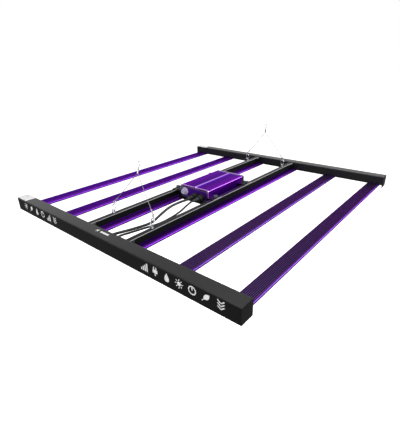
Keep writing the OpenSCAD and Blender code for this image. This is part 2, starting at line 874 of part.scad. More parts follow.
// Recessed mains socket with three pins, facing backwards
module mains_inlet() {
    flange = inlet_flange();
    depth = 18;
    color(plastic)
        translate([0, cap_back, cavity_mid]) {
            difference() {
                union() {
                    box([-25, 0, -11], [50, flange, 22]);
                    box([-inlet_w() / 2 + fit, -depth, -inlet_h() / 2 + fit],
                        [inlet_w() - 2 * fit, depth + eps, inlet_h() - 2 * fit]);
                }
                box([-11.5, -depth + 2, -8], [23, depth + flange, 16]);
                for (side = [-1, 1])
                    translate([side * inlet_screw_x(), -eps, 0])
                        rotate([-90, 0, 0]) cylinder(h = flange + 2 * eps, r = 1.6);
            }
            for (pin = [[-7, -1], [0, 3], [7, -1]])
                box([pin[0] - 1, -depth + 2 - eps, pin[1] - 2], [2, 11, 4]);
        }
}

// Glands where the leads enter the front beam
module beam_glands() {
    color(plastic)
        for (x = gland_x)
            translate([x, -inner_y, gland_z])
                rotate([-90, 0, 0]) {
                    cylinder(h = 3, r = gland_r + 1, $fn = 6);
                    cylinder(h = gland_reach, r = gland_r - 1.5);
                    translate([0, 0, -beam_wall - 5])
                        cylinder(h = beam_wall + 5 + eps, r = gland_r - 1.7);
                }
}

module lead(route, i) {
    start = [socket_x[i], boot_end, socket_z];
    end = [gland_x[i], -inner_y + gland_reach, gland_z];
    tube(smooth_route(between(route, start, end), 2), lead_r[i]);
}

module lead_left() {
    color(plastic) lead(lead_left_route, 0);
}

module lead_right() {
    color(plastic) lead(lead_right_route, 1);
}

// Terminal board on posts, wire bundle and bar connectors inside the front beam
module beam_wiring() {
    floor_z = cover_z + cover_t;
    mid = gland_x[0] + 15;
    color("#b8352c") {
        box([mid - 45, -beam_y - 11, floor_z + 3], [90, 22, pcb_t]);
        for (x = [mid - 38, mid + 38])
            translate([x, -beam_y, floor_z]) cylinder(h = 3 + eps, r = 3);
        for (i = [0 : 3])
            box([mid - 40 + i * 22, -beam_y - 7, floor_z + 3 + pcb_t - eps], [14, 10, 9]);
        rod([bar_x[0], -beam_y - 14, floor_z + 2.6], [bar_x[5], -beam_y - 14, floor_z + 2.6], 2.5);
        for (x = bar_x)
            box([x + screw_x + bar_screw_d / 2 + 1.1, -beam_y - 4, floor_z], [14, 8, 6]);
    }
}

// ---- hangers ----

// Places what is drawn upright around the hinge line at the hanging eyes.
// In the drawing, X runs along the hinge line and Z up the hanger.
module hanger_place(end) {
    lean = end < 0 ? -front_lean : back_lean;
    translate([0, end * hang_y, eye_z]) rotate([lean, 0, 0]) children();
}

function leg_dir() = unit([-rail_x, 0, leg_rise - hook_eye_v]);
function leg_point(d) = [rail_x, 0, hook_eye_v] + d * leg_dir();

// One leg with its small end ring, bent upright where it meets the crimp
module rope_leg() {
    bend = [rope_r + 0.2, 0, leg_rise - 1];
    ring_r = 4;
    translate([rail_x, 0, hook_eye_v])
        rotate([0, -atan2(rail_x, leg_rise - hook_eye_v), 0])
            translate([0, 0, ring_r])
                rotate([0, 0, 90]) ring_arc([0, 0, 0], ring_r, rope_r);
    rod(leg_point(8), bend, rope_r);
    translate(bend) sphere(r = rope_r);
    rod(bend, [bend[0], 0, leg_rise], rope_r);
}

// Drop-shaped loop above the crimp, its sides tangent to the bend
module top_loop() {
    foot = [rope_r + 0.2, 0, leg_rise + ferrule_len + 0.2];
    away = [foot[0], foot[2] - loop_v];
    turn = atan2(away[1], away[0]) + acos(loop_r / norm(away));
    side = [loop_r * cos(turn), 0, loop_v + loop_r * sin(turn)];
    ring_arc([0, 0, loop_v], loop_r, rope_r, turn, 180 - 2 * turn);
    both_sides() rod(foot, side, rope_r);
}

module rope(end) {
    color("#a9adb2")
        hanger_place(end) {
            both_sides() rope_leg();
            top_loop();
        }
}

// Crimped sleeves: one on each leg, one where the legs meet
module ferrules(end) {
    color("#cfd2d6")
        hanger_place(end) {
            both_sides()
                difference() {
                    rod(leg_point(9.5), leg_point(22), rope_r + 1.1);
                    rod(leg_point(9), leg_point(23), rope_r + crimp_fit);
                }
            translate([0, 0, leg_rise]) cylinder(h = ferrule_len, r = ferrule_r);
        }
}

// Snap hook with its gate side towards +X: lower bend round the hinge line,
// straight back, shoulder with the gate's ears and pin, and an eye on top
module snap_hook() {
    nose_v = hook_r + 2;
    ring_arc([0, 0, hook_r], hook_r, hook_wire, 180, 180);
    rod([-hook_r, 0, hook_r], [-hook_r, 0, shoulder_v], hook_wire);
    rod([hook_r, 0, hook_r], [hook_r, 0, nose_v], hook_wire);
    translate([hook_r, 0, nose_v]) sphere(r = hook_wire);
    ring_arc([0, 0, shoulder_v], hook_r, hook_wire, 0, 180);
    translate([0, 0, shoulder_v + hook_r]) cylinder(h = 2 * hook_wire, r = hook_wire + 0.4);
    ring_arc([0, 0, hook_eye_v], hook_eye_r, hook_wire);
    for (side = [-1, 1])
        box([hook_r - 1.5, side < 0 ? -2 : 1.2, gate_v - 1.5], [3, 0.8, 4]);
    rod([hook_r, -2, gate_v], [hook_r, 2, gate_v], gate_pin_r);
}

module hooks(end) {
    color(steel)
        hanger_place(end)
            both_sides() translate([rail_x, 0, 0]) snap_hook();
}

// Gate of a snap hook, from its pin down to the hook's nose
module gate(end, side) {
    tip_v = hook_r + 2 + hook_wire + 0.3;
    color("#d9dbde")
        hanger_place(end)
            translate([side * (rail_x + hook_r), 0, 0])
                difference() {
                    union() {
                        rod([0, -1.05, gate_v], [0, 1.05, gate_v], 1.5);
                        rod([0, 0, tip_v], [0, 0, gate_v - 0.3], 1);
                    }
                    rod([0, -2, gate_v], [0, 2, gate_v], gate_pin_r + running_fit);
                }
}

// ---- what is drawn ----

front_beam();
back_beam();
end_caps();
wiring_covers();
rating_labels();
for (i = [1 : 6]) led_bar(i);
for (i = [1 : 6]) led_board(i);
lens_strips();
bar_screws();
rail(-rail_x);  // rail_left
rail(rail_x);  // rail_right
rail_brackets();
rail_bolts();
hanging_eyes();
driver_case();
driver_front_plate();
driver_back_cap();
driver_screws();
strap_front();
strap_back();
thumb_screw(-rail_x, strap_front_y);  // thumb_screw_1
thumb_screw(rail_x, strap_front_y);  // thumb_screw_2
thumb_screw(-rail_x, strap_back_y);  // thumb_screw_3
thumb_screw(rail_x, strap_back_y);  // thumb_screw_4
driver_board();
driver_components();
dimmer_knob();
dimmer_shaft();
dimmer_pot();
dial_plate();
output_sockets();
coupling_nut(socket_x[0]);  // coupling_nut_left
coupling_nut(socket_x[1]);  // coupling_nut_right
lead_boots();
mains_inlet();
beam_glands();
lead_left();
lead_right();
beam_wiring();
rope(-1);  // front_rope
ferrules(-1);  // front_ferrules
hooks(-1);  // front_hooks
gate(-1, -1);  // front_gate_left
gate(-1, 1);  // front_gate_right
rope(1);  // back_rope
ferrules(1);  // back_ferrules
hooks(1);  // back_hooks
gate(1, -1);  // back_gate_left
gate(1, 1);  // back_gate_right
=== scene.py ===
"""LED grow light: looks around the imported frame.

Lengths are in metres, or in mm where a name or a comment says so.
"""

import json
import math

import bpy
import numpy as np
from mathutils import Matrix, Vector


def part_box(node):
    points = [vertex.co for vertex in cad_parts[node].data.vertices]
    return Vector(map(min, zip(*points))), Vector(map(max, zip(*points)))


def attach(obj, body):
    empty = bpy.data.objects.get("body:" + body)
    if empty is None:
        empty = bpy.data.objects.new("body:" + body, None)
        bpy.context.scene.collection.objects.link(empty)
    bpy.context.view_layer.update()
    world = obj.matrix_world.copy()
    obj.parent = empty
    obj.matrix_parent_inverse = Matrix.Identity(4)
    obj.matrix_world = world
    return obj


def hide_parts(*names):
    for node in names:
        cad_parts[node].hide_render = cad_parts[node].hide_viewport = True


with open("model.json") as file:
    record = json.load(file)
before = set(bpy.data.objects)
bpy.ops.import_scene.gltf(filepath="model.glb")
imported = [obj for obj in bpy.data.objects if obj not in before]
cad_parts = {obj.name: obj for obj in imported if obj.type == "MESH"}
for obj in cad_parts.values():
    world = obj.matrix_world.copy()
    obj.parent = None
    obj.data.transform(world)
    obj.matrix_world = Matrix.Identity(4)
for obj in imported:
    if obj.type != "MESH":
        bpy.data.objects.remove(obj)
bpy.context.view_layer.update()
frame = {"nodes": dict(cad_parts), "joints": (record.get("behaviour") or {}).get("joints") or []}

MM = 0.001
BAR_PITCH = 192.3 * MM
NODES = frame["nodes"]
JOINTS = {joint["name"]: joint for joint in frame["joints"]}
scene = bpy.context.scene
scene.view_settings.view_transform = "Standard"


# ---------------------------------------------------------------- camera


CAMERA_PLACE = (0.8129, -1.0168, 0.5009)
CAMERA_RIGHT = (0.7627, 0.6463, -0.0242)
CAMERA_UP = (-0.2480, 0.3268, 0.9120)
LENS = 30.32  # mm, on a sensor 36 mm wide
SENSOR = 36.0  # mm


def place_camera():
    """A camera 1.4 m from the light's middle, off its front right corner and above it."""
    right = np.array(CAMERA_RIGHT)
    up = np.array(CAMERA_UP)
    forward = np.cross(up, right)
    matrix = np.eye(4)
    matrix[:3, 0] = right
    matrix[:3, 1] = up
    matrix[:3, 2] = -forward
    matrix[:3, 3] = CAMERA_PLACE
    data = bpy.data.cameras.new("camera")
    data.sensor_fit = "HORIZONTAL"
    data.sensor_width = SENSOR
    data.lens = LENS
    data.clip_start, data.clip_end = 0.02, 100.0
    camera = bpy.data.objects.new("camera", data)
    scene.collection.objects.link(camera)
    camera.matrix_world = matrix.T.tolist()
    scene.camera = camera


place_camera()


# ---------------------------------------------------------------- materials


def linear(code):
    """An sRGB hex colour as linear red, green and blue, with alpha 1."""
    channels = np.array([int(code[k : k + 2], 16) for k in (1, 3, 5)]) / 255.0
    low, high = channels / 12.92, ((channels + 0.055) / 1.055) ** 2.4
    return (*np.where(channels <= 0.04045, low, high).tolist(), 1.0)


def add(tree, kind, settings=None, links=None):
    """Adds a node of a kind to a tree, sets its properties and sockets, and links its inputs.

    A key of settings is a property's name or an input's name or number. A value of links is
    a pair of a node and its output's name or number.
    """
    node = tree.nodes.new("ShaderNode" + kind)
    for key, value in (settings or {}).items():
        if isinstance(key, str) and hasattr(node, key):
            setattr(node, key, value)
        else:
            node.inputs[key].default_value = value
    for key, (source, output) in (links or {}).items():
        tree.links.new(source.outputs[output], node.inputs[key])
    return node


def finish_of(name, colour, rough, detail, **sockets):
    """A material with a principled shader, whose detail function adds its pattern nodes.

    detail gets the tree, the shader and the node of Object coordinates.
    """
    material = bpy.data.materials.new(name)
    material.use_nodes = True
    tree = material.node_tree
    shader = tree.nodes["Principled BSDF"]
    shader.inputs["Base Color"].default_value = linear(colour)
    shader.inputs["Roughness"].default_value = rough
    for key, value in sockets.items():
        shader.inputs[key.replace("_", " ")].default_value = value
    coordinates = add(tree, "TexCoord")
    detail(tree, shader, coordinates)
    return material


def where(tree, coordinates, limits):
    """A mask from limits of (axis, from, to) in mm: 0 before from and 1 past to, multiplied.

    The axis is X, Y or Z, |X| for the distance from the middle plane, bar for the distance
    from the middle of the nearest light bar or rail, or aside for how far it is to its right.
    """
    split = add(tree, "SeparateXYZ", {}, {"Vector": (coordinates, "Object")})
    product = None
    for axis, start, stop in limits:
        source = (split, axis if axis in "XYZ" else "X")
        if axis in ("bar", "aside"):
            wrapped = add(tree, "Math", {"operation": "WRAP", 1: BAR_PITCH, 2: 0.0}, {0: source})
            half_pitch = {"operation": "SUBTRACT", 1: BAR_PITCH / 2}
            middle = add(tree, "Math", half_pitch, {0: (wrapped, 0)})
            source = (middle, 0)
        if axis in ("bar", "|X|"):
            source = (add(tree, "Math", {"operation": "ABSOLUTE"}, {0: source}), 0)
        step = add(
            tree,
            "MapRange",
            {"From Min": start * MM, "From Max": stop * MM},
            {"Value": source},
        )
        if product is None:
            product = (step, "Result")
        else:
            both = {0: product, 1: (step, "Result")}
            product = (add(tree, "Math", {"operation": "MULTIPLY"}, both), 0)
    return product


def grain(size_mm, depth_mm, stretch=(1, 1, 1), rough=None, colours=None, layers=2.0, bands=()):
    """Detail for a surface: noise whose bumps are size_mm wide, longer along stretched axes.

    Its height goes to the bump, and it also varies the roughness between two values and the
    colour between two hex values where these are given. Each band is a hex colour and the
    limits of where() inside which it covers what is below it.
    """

    def detail(tree, shader, coordinates):
        scale = [1.0 / (size_mm * MM * s) for s in stretch]
        mapping = add(tree, "Mapping", {"Scale": scale}, {"Vector": (coordinates, "Object")})
        noise = add(
            tree, "TexNoise", {"Scale": 1.0, "Detail": layers}, {"Vector": (mapping, "Vector")}
        )
        bump = add(
            tree,
            "Bump",
            {"Strength": 0.5, "Distance": depth_mm * MM},
            {"Height": (noise, "Fac")},
        )
        tree.links.new(bump.outputs["Normal"], shader.inputs["Normal"])
        if rough:
            spread = add(
                tree,
                "MapRange",
                {"To Min": rough[0], "To Max": rough[1]},
                {"Value": (noise, "Fac")},
            )
            tree.links.new(spread.outputs["Result"], shader.inputs["Roughness"])
        if not colours:
            return
        colour = (
            add(
                tree,
                "Mix",
                {"data_type": "RGBA", 6: linear(colours[0]), 7: linear(colours[1])},
                {0: (noise, "Fac")},
            ),
            2,
        )
        for code, limits in bands:
            links = {0: where(tree, coordinates, limits), 6: colour}
            colour = (add(tree, "Mix", {"data_type": "RGBA", 7: linear(code)}, links), 2)
        tree.links.new(colour[0].outputs[2], shader.inputs["Base Color"])

    return detail


# Black polyester powder coat, sprayed and baked: satin, with a faint orange peel 1.5 mm wide
powder_coat = finish_of(
    "powder coat, black satin", "#090909", 0.36,
    grain(1.5, 0.05, rough=(0.30, 0.42), colours=("#080808", "#0b0b0b")),
    Specular_IOR_Level=0.56,
)
# The same coat on the rails and straps, darker and less glossy. A grey line is painted along
# one upper corner of each rail to stand for light caught there; it doesn't follow the lights
rail_coat = finish_of(
    "powder coat, black", "#070708", 0.4,
    grain(
        1.2, 0.04, rough=(0.34, 0.46), colours=("#060607", "#090909"),
        bands=[("#a5a5a9", [("aside", 8.2, 9.0), ("bar", 10.6, 10.2), ("Z", 42.8, 43.8)])],
    ),
    Specular_IOR_Level=0.2,
)
# The power supply's back cap, moulded smooth and black. The violet on its top is a guess, and
# the pale line on its far edge is painted to stand for light; it doesn't follow the lights
cap_nylon = finish_of(
    "nylon, moulded smooth black", "#121213", 0.4,
    grain(
        0.8, 0.04, rough=(0.34, 0.48), colours=("#101011", "#161617"),
        bands=[
            ("#4c1080", [("Z", 69.2, 69.7)]),
            ("#d3b4e8", [("Z", 68.4, 69.2), ("Y", 125.6, 126.6)]),
        ],
    ),
)
# Extruded aluminium, violet anodised, with die lines along the bar drawn 0.4 mm apart. Its
# bands are painted to stand for light and shade and don't follow the lights: dark gaps and
# lower edges, bright tips and sides, and a paler, duller violet on bars 5 and 6 only, though
# all six bars would be alike
anodised_bar = finish_of(
    "anodised aluminium, violet", "#7a08e6", 0.34,
    grain(
        0.4, 0.03, stretch=(1, 150, 1), rough=(0.28, 0.42), colours=("#7006d8", "#840af2"),
        bands=[
            ("#120424", [("Z", 14.6, 13.6), ("bar", 19.8, 19.4)]),
            ("#8440c8", [("Z", 15.2, 15.4)]),
            ("#a246ee", [("bar", 20.2, 20.6), ("Z", 4.8, 5.6)]),
            ("#2a0846", [("Z", 4.8, 4.2), ("bar", 21.3, 21.8)]),
            ("#7a5c9c", [("X", 200.0, 260.0), ("Z", 13.0, 14.0)]),
            ("#8c58c8", [("X", 200.0, 260.0), ("Z", 14.0, 13.0), ("bar", 19.8, 20.6)]),
        ],
    ),
    Metallic=0.92, Specular_Tint=linear("#b060c8"),
)
# The power supply's extrusion, smoother than the bars, so glossier. Its bands are painted to
# stand for light and don't follow the lights: a lighter top away from the middle, and pale
# upper corners, rib and front rim
anodised_case = finish_of(
    "anodised aluminium, glossy violet", "#4c0a86", 0.2,
    grain(
        0.5, 0.02, stretch=(1, 150, 1), rough=(0.14, 0.26), colours=("#5c0c90", "#7014a8"),
        bands=[
            ("#8a30b8", [("|X|", 22.0, 66.0), ("Z", 68.0, 69.5)]),
            ("#a862e6", [("|X|", 66.6, 68.0), ("Z", 66.4, 67.5)]),
            ("#e3c6f7", [("Z", 70.4, 70.9)]),
            ("#f2d6ff", [("Y", -102.2, -103.8), ("Z", 65.0, 66.4)]),
            ("#e6c2ff", [("Y", -107.0, -108.0)]),
        ],
    ),
    Metallic=0.92, Specular_Tint=linear("#a858cc"),
)
# Sheet aluminium, stamped and violet anodised, grained by tumbling 0.8 mm wide
anodised_plate = finish_of(
    "anodised aluminium sheet, violet", "#5c18a4", 0.35,
    grain(0.8, 0.03, rough=(0.28, 0.42), colours=("#54149a", "#661cb2")),
    Metallic=0.7,
)
# Mill-finish aluminium sheet, with rolling lines 0.3 mm apart
mill_aluminium = finish_of(
    "aluminium sheet, mill finish", "#9a9da1", 0.38,
    grain(0.3, 0.02, stretch=(120, 1, 1), rough=(0.3, 0.46)),
    Metallic=1.0,
)
# Steel, bright zinc plated: crystals about 1 mm wide dull it slightly
zinc = finish_of(
    "steel, zinc plated", "#b9bcc0", 0.3,
    grain(1.0, 0.02, rough=(0.22, 0.38), colours=("#adb0b4", "#c6c9cc")),
    Metallic=1.0,
)
# Steel, blackened zinc on the rails' bolts, lighter on raised spots 2 mm wide
dark_zinc = finish_of(
    "steel, blackened zinc", "#55575b", 0.42,
    grain(2.0, 0.03, rough=(0.34, 0.5), colours=("#46484c", "#66686d")),
    Metallic=0.8,
)
# Steel, grey zinc, duller: the brackets and the thumb screws
grey_zinc = finish_of(
    "steel, grey zinc", "#6c6f74", 0.45,
    grain(1.5, 0.03, rough=(0.38, 0.52), colours=("#64676c", "#767a7f")),
    Metallic=0.9,
)
# Spring steel wire, nickel plated: drawing lines 0.2 mm apart show as faint streaks
nickel = finish_of(
    "spring steel, nickel plated", "#dcdee0", 0.12,
    grain(0.8, 0.02, rough=(0.08, 0.18), colours=("#d2d4d7", "#e6e8ea")),
    Metallic=1.0,
)
# Stainless wire rope, laid from drawn wires: a mid grey metal, smooth along each wire
wire_rope = finish_of(
    "stainless wire rope", "#94969a", 0.3,
    grain(0.5, 0.03, rough=(0.24, 0.38), colours=("#84868a", "#a4a6aa")),
    Metallic=0.8,
)
# Aluminium sleeve, pressed in a die, with dents about 1.5 mm wide
pressed_aluminium = finish_of(
    "aluminium sleeve, pressed", "#c4c6c9", 0.3,
    grain(1.5, 0.08, rough=(0.24, 0.38)),
    Metallic=1.0,
)
# Glass-filled nylon, moulded: matte from a spark-eroded mould, grain 0.6 mm
moulded_nylon = finish_of(
    "nylon, moulded black", "#141917", 0.5,
    grain(0.6, 0.05, rough=(0.44, 0.58), colours=("#111614", "#181d1b")),
)
# PVC sheath, extruded: smooth and slightly waxy, with waves about 3 mm long
pvc_sheath = finish_of(
    "PVC lead sheath, black", "#151516", 0.45,
    grain(3.0, 0.05, rough=(0.38, 0.52), colours=("#131314", "#18181a")),
)
# ABS, moulded pale, grain 0.8 mm
pale_abs = finish_of(
    "ABS, moulded pale", "#b9b3cc", 0.4,
    grain(0.8, 0.04, rough=(0.34, 0.46), colours=("#b3acc8", "#c2bdd2")),
)
# Polycarbonate film, printed on its back, so satin in front
dial_film = finish_of(
    "polycarbonate film, pale", "#cdc8de", 0.35,
    grain(1.0, 0.01, rough=(0.3, 0.4), colours=("#c9c3da", "#d2cde2")),
)
# Polyester label film, white, slightly uneven over its glue about 4 mm wide
label_film = finish_of(
    "polyester label film, white", "#f2f2f2", 0.4,
    grain(4.0, 0.02, rough=(0.34, 0.46), colours=("#eeeeee", "#f6f6f6")),
)
# Screen-printing ink, pale grey, matt: it shows faintly on the white labels
grey_ink = finish_of(
    "screen printing ink, grey", "#d6d7da", 0.6,
    grain(0.4, 0.01, rough=(0.55, 0.65)),
)
# Screen-printing ink, white, with a fine mesh mark 0.4 mm wide
white_ink = finish_of(
    "screen printing ink, white", "#f8f8f8", 0.55,
    grain(0.4, 0.01, rough=(0.5, 0.6), colours=("#f4f4f4", "#fdfdfd")),
)
# Screen-printing ink, dark
dark_ink = finish_of(
    "screen printing ink, dark", "#2b2340", 0.55,
    grain(0.4, 0.01, rough=(0.5, 0.6)),
)
# Circuit board, white solder mask over copper: smooth, with ripples 2 mm wide
white_mask = finish_of(
    "circuit board, white solder mask", "#eceae2", 0.35,
    grain(2.0, 0.02, rough=(0.3, 0.42), colours=("#e6e4db", "#f1efe8")),
)
# Circuit board, green solder mask
green_mask = finish_of(
    "circuit board, green solder mask", "#1f6b3c", 0.35,
    grain(2.0, 0.02, rough=(0.3, 0.42), colours=("#1b6237", "#247443")),
)
# Polycarbonate strip, extruded clear and lightly frosted
clear_strip = finish_of(
    "polycarbonate, clear extruded", "#f4f8fa", 0.12,
    grain(1.2, 0.02, stretch=(1, 60, 1), rough=(0.08, 0.18)),
    Transmission_Weight=0.9, IOR=1.58,
)
# Epoxy and tape of the inner components
dark_epoxy = finish_of(
    "epoxy, dark grey", "#34363a", 0.5,
    grain(0.8, 0.04, rough=(0.44, 0.56), colours=("#303236", "#3a3c40")),
)
red_insulation = finish_of(
    "silicone insulation, red", "#a3322b", 0.45,
    grain(1.0, 0.03, rough=(0.4, 0.52), colours=("#983029", "#ad3a32")),
)
# Chip housing, white moulded resin
chip_resin = finish_of(
    "resin, white moulded", "#f3f1ea", 0.45,
    grain(0.3, 0.01, rough=(0.4, 0.5)),
)
# Phosphor in silicone, warm yellow
phosphor = finish_of(
    "silicone with phosphor, yellow", "#e9c24a", 0.3,
    grain(0.2, 0.01, rough=(0.25, 0.36), colours=("#e2b93f", "#f0cc5c")),
)

FINISHES = {
    "front_beam": powder_coat,
    "back_beam": powder_coat,
    "end_caps": powder_coat,
    "wiring_covers": mill_aluminium,
    "rating_labels": label_film,
    "lens_strips": clear_strip,
    "bar_screws": zinc,
    "rail_left": rail_coat,
    "rail_right": rail_coat,
    "rail_brackets": grey_zinc,
    "rail_bolts": dark_zinc,
    "hanging_eyes": zinc,
    "driver_case": anodised_case,
    "driver_front_plate": anodised_plate,
    "driver_back_cap": cap_nylon,
    "driver_screws": zinc,
    "strap_front": rail_coat,
    "strap_back": rail_coat,
    "driver_board": green_mask,
    "driver_components": dark_epoxy,
    "dimmer_knob": pale_abs,
    "dimmer_shaft": zinc,
    "dimmer_pot": dark_epoxy,
    "dial_plate": dial_film,
    "output_sockets": moulded_nylon,
    "coupling_nut_left": moulded_nylon,
    "coupling_nut_right": moulded_nylon,
    "lead_boots": moulded_nylon,
    "mains_inlet": moulded_nylon,
    "beam_glands": moulded_nylon,
    "beam_wiring": red_insulation,
    "front_ferrules": pressed_aluminium,
    "back_ferrules": pressed_aluminium,
}
for number in range(1, 7):
    FINISHES[f"led_bar_{number}"] = anodised_bar
    FINISHES[f"led_board_{number}"] = white_mask
for number in range(1, 5):
    FINISHES[f"thumb_screw_{number}"] = grey_zinc
for end in ("front", "back"):
    for part in ("hooks", "gate_left", "gate_right"):
        FINISHES[f"{end}_{part}"] = nickel

for node_name, material in FINISHES.items():
    mesh = NODES[node_name].data
    mesh.materials.clear()
    mesh.materials.append(material)


# ---------------------------------------------------------------- shapes


def smooth_curve(points, steps):
    """A curve through all the points, with steps short lines between each two.

    Between b and c, with a before and d after, at a share t of the way, the place is half of
    2b + (c - a)t + (2a - 5b + 4c - d)t^2 + (3b - a - 3c + d)t^3.
    """
    p = np.asarray(points, float)
    a = np.vstack([p[:1], p[:-2]])[:, None]
    b, c = p[:-1, None], p[1:, None]
    d = np.vstack([p[2:], p[-1:]])[:, None]
    t = (np.arange(steps) / steps)[None, :, None]
    inside = 0.5 * (
        2 * b + (c - a) * t + (2 * a - 5 * b + 4 * c - d) * t**2 + (3 * b - a - 3 * c + d) * t**3
    )
    return np.vstack([inside.reshape(-1, 3), p[-1:]])


def evenly(points, spacing):
    """Points at equal distances of about spacing along a curve."""
    lengths = np.concatenate([[0], np.cumsum(np.linalg.norm(np.diff(points, axis=0), axis=1))])
    count = max(2, int(round(lengths[-1] / spacing)) + 1)
    at = np.linspace(0, lengths[-1], count)
    return np.stack([np.interp(at, lengths, points[:, k]) for k in range(3)], axis=1), at


def grid_faces(rows, columns):
    """Quads of a grid that closes on itself from its last column to its first."""
    row, column = np.meshgrid(np.arange(rows - 1), np.arange(columns), indexing="ij")
    following = (column + 1) % columns
    corners = [row * columns + column, row * columns + following]
    corners += [(row + 1) * columns + following, (row + 1) * columns + column]
    return np.stack(corners, axis=-1).reshape(-1, 4)


def piece(name, vertices, faces, material, body, smooth=True):
    """A mesh piece from arrays of vertices in metres and of faces, riding on a body."""
    mesh = bpy.data.meshes.new(name)
    mesh.from_pydata(np.asarray(vertices).tolist(), [], [list(map(int, f)) for f in faces])
    mesh.polygons.foreach_set("use_smooth", np.full(len(mesh.polygons), smooth))
    mesh.materials.append(material)
    mesh.update()
    made = bpy.data.objects.new(name, mesh)
    scene.collection.objects.link(made)
    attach(made, body)
    return made


def swept(path, radius, sides, across):
    """Vertices and faces of a round bar along a path: place + r (cos a * side + sin a * up).

    side is square to the path and to the vector across, and up is square to both. radius is a
    number, or an array with a row for each point of the path and a column for each angle a.
    """
    tangent = np.gradient(path, axis=0)
    tangent /= np.linalg.norm(tangent, axis=1)[:, None]
    side = np.cross(tangent, across)
    side /= np.linalg.norm(side, axis=1)[:, None]
    up = np.cross(side, tangent)
    angle = 2 * np.pi * np.arange(sides) / sides
    circle = np.cos(angle)[None, :, None] * side[:, None]
    circle = circle + np.sin(angle)[None, :, None] * up[:, None]
    spread = np.broadcast_to(np.asarray(radius, float), (len(path), sides))[:, :, None]
    wall = (path[:, None] + spread * circle).reshape(-1, 3)
    vertices = np.vstack([wall, path[:1], path[-1:]])
    faces = grid_faces(len(path), sides).tolist()
    ring = np.arange(sides)
    following = (ring + 1) % sides
    first, last = len(wall), len(wall) + 1
    top = (len(path) - 1) * sides
    faces += np.stack([following, ring, np.full(sides, first)], axis=1).tolist()
    faces += np.stack([top + ring, top + following, np.full(sides, last)], axis=1).tolist()
    return vertices, faces


def joined(parts):
    """One array of vertices and one list of faces from several such pairs."""
    vertices, faces, start = [], [], 0
    for part_vertices, part_faces in parts:
        vertices.append(np.asarray(part_vertices, float))
        faces += [[corner + start for corner in face] for face in part_faces]
        start += len(part_vertices)
    return np.vstack(vertices), faces


# ---------------------------------------------------------------- output leads

LEAD_D = {"lead_left": 9 * MM, "lead_right": 7 * MM}
LEAD_ROUTES = {
    "lead_left": [
        (11, -163, 40), (11, -174, 40), (6, -200, 39), (4, -245, 36), (12, -290, 31),
        (22, -325, 28), (31, -352, 27), (33, -378, 27), (28, -405, 27), (21, -440, 28),
        (13, -470, 29), (8, -493, 30), (8, -503.5, 30),
    ],
    "lead_right": [
        (40, -163, 40), (40, -174, 40), (46, -205, 37), (55, -245, 33), (60, -285, 30),
        (61, -325, 28), (58, -358, 27), (52, -385, 27), (45, -418, 28), (38, -455, 29),
        (33, -480, 30), (32, -494, 30), (32, -503.5, 30),
    ],
}


def make_lead(name):
    """A round lead along its route, from its boot on the power supply to its gland."""
    path, along = evenly(smooth_curve(np.array(LEAD_ROUTES[name]) * MM, 12), 3 * MM)
    vertices, faces = swept(path, LEAD_D[name] / 2, 20, np.array([0.0, 0.0, 1.0]))
    lead = piece(name + "_sheath", vertices, faces, pvc_sheath, "fixture")
    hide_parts(name)


for lead_name in LEAD_ROUTES:
    make_lead(lead_name)


# ---------------------------------------------------------------- hanger ropes

ROPE_R = 1.0  # mm
LEG_RISE = 146.0
CRIMP_LEN = 11.0
LOOP_R = 5.0
LOOP_RISE = LEG_RISE + CRIMP_LEN + 23
HOOK_EYE_RISE = 32.7
LAY_LEN = 13.0  # a strand turns once round the rope in this length


def stranded(path_mm, place, across):
    """A six-strand rope: its radius is (0.84 + 0.16 |cos 3(a - 2 pi s / lay)|) of the full one.

    a is the angle round the rope, s the distance along it. place turns the hanger's own
    upright coordinates into the frame's.
    """
    path, along = evenly(np.asarray(path_mm, float), 0.8)
    sides = 24
    angle = 2 * np.pi * np.arange(sides) / sides
    twist = angle[None, :] - 2 * np.pi * along[:, None] / LAY_LEN
    radius = ROPE_R * (0.84 + 0.16 * np.abs(np.cos(3 * twist)))
    vertices, faces = swept(path, radius, sides, across)
    return place(vertices), faces


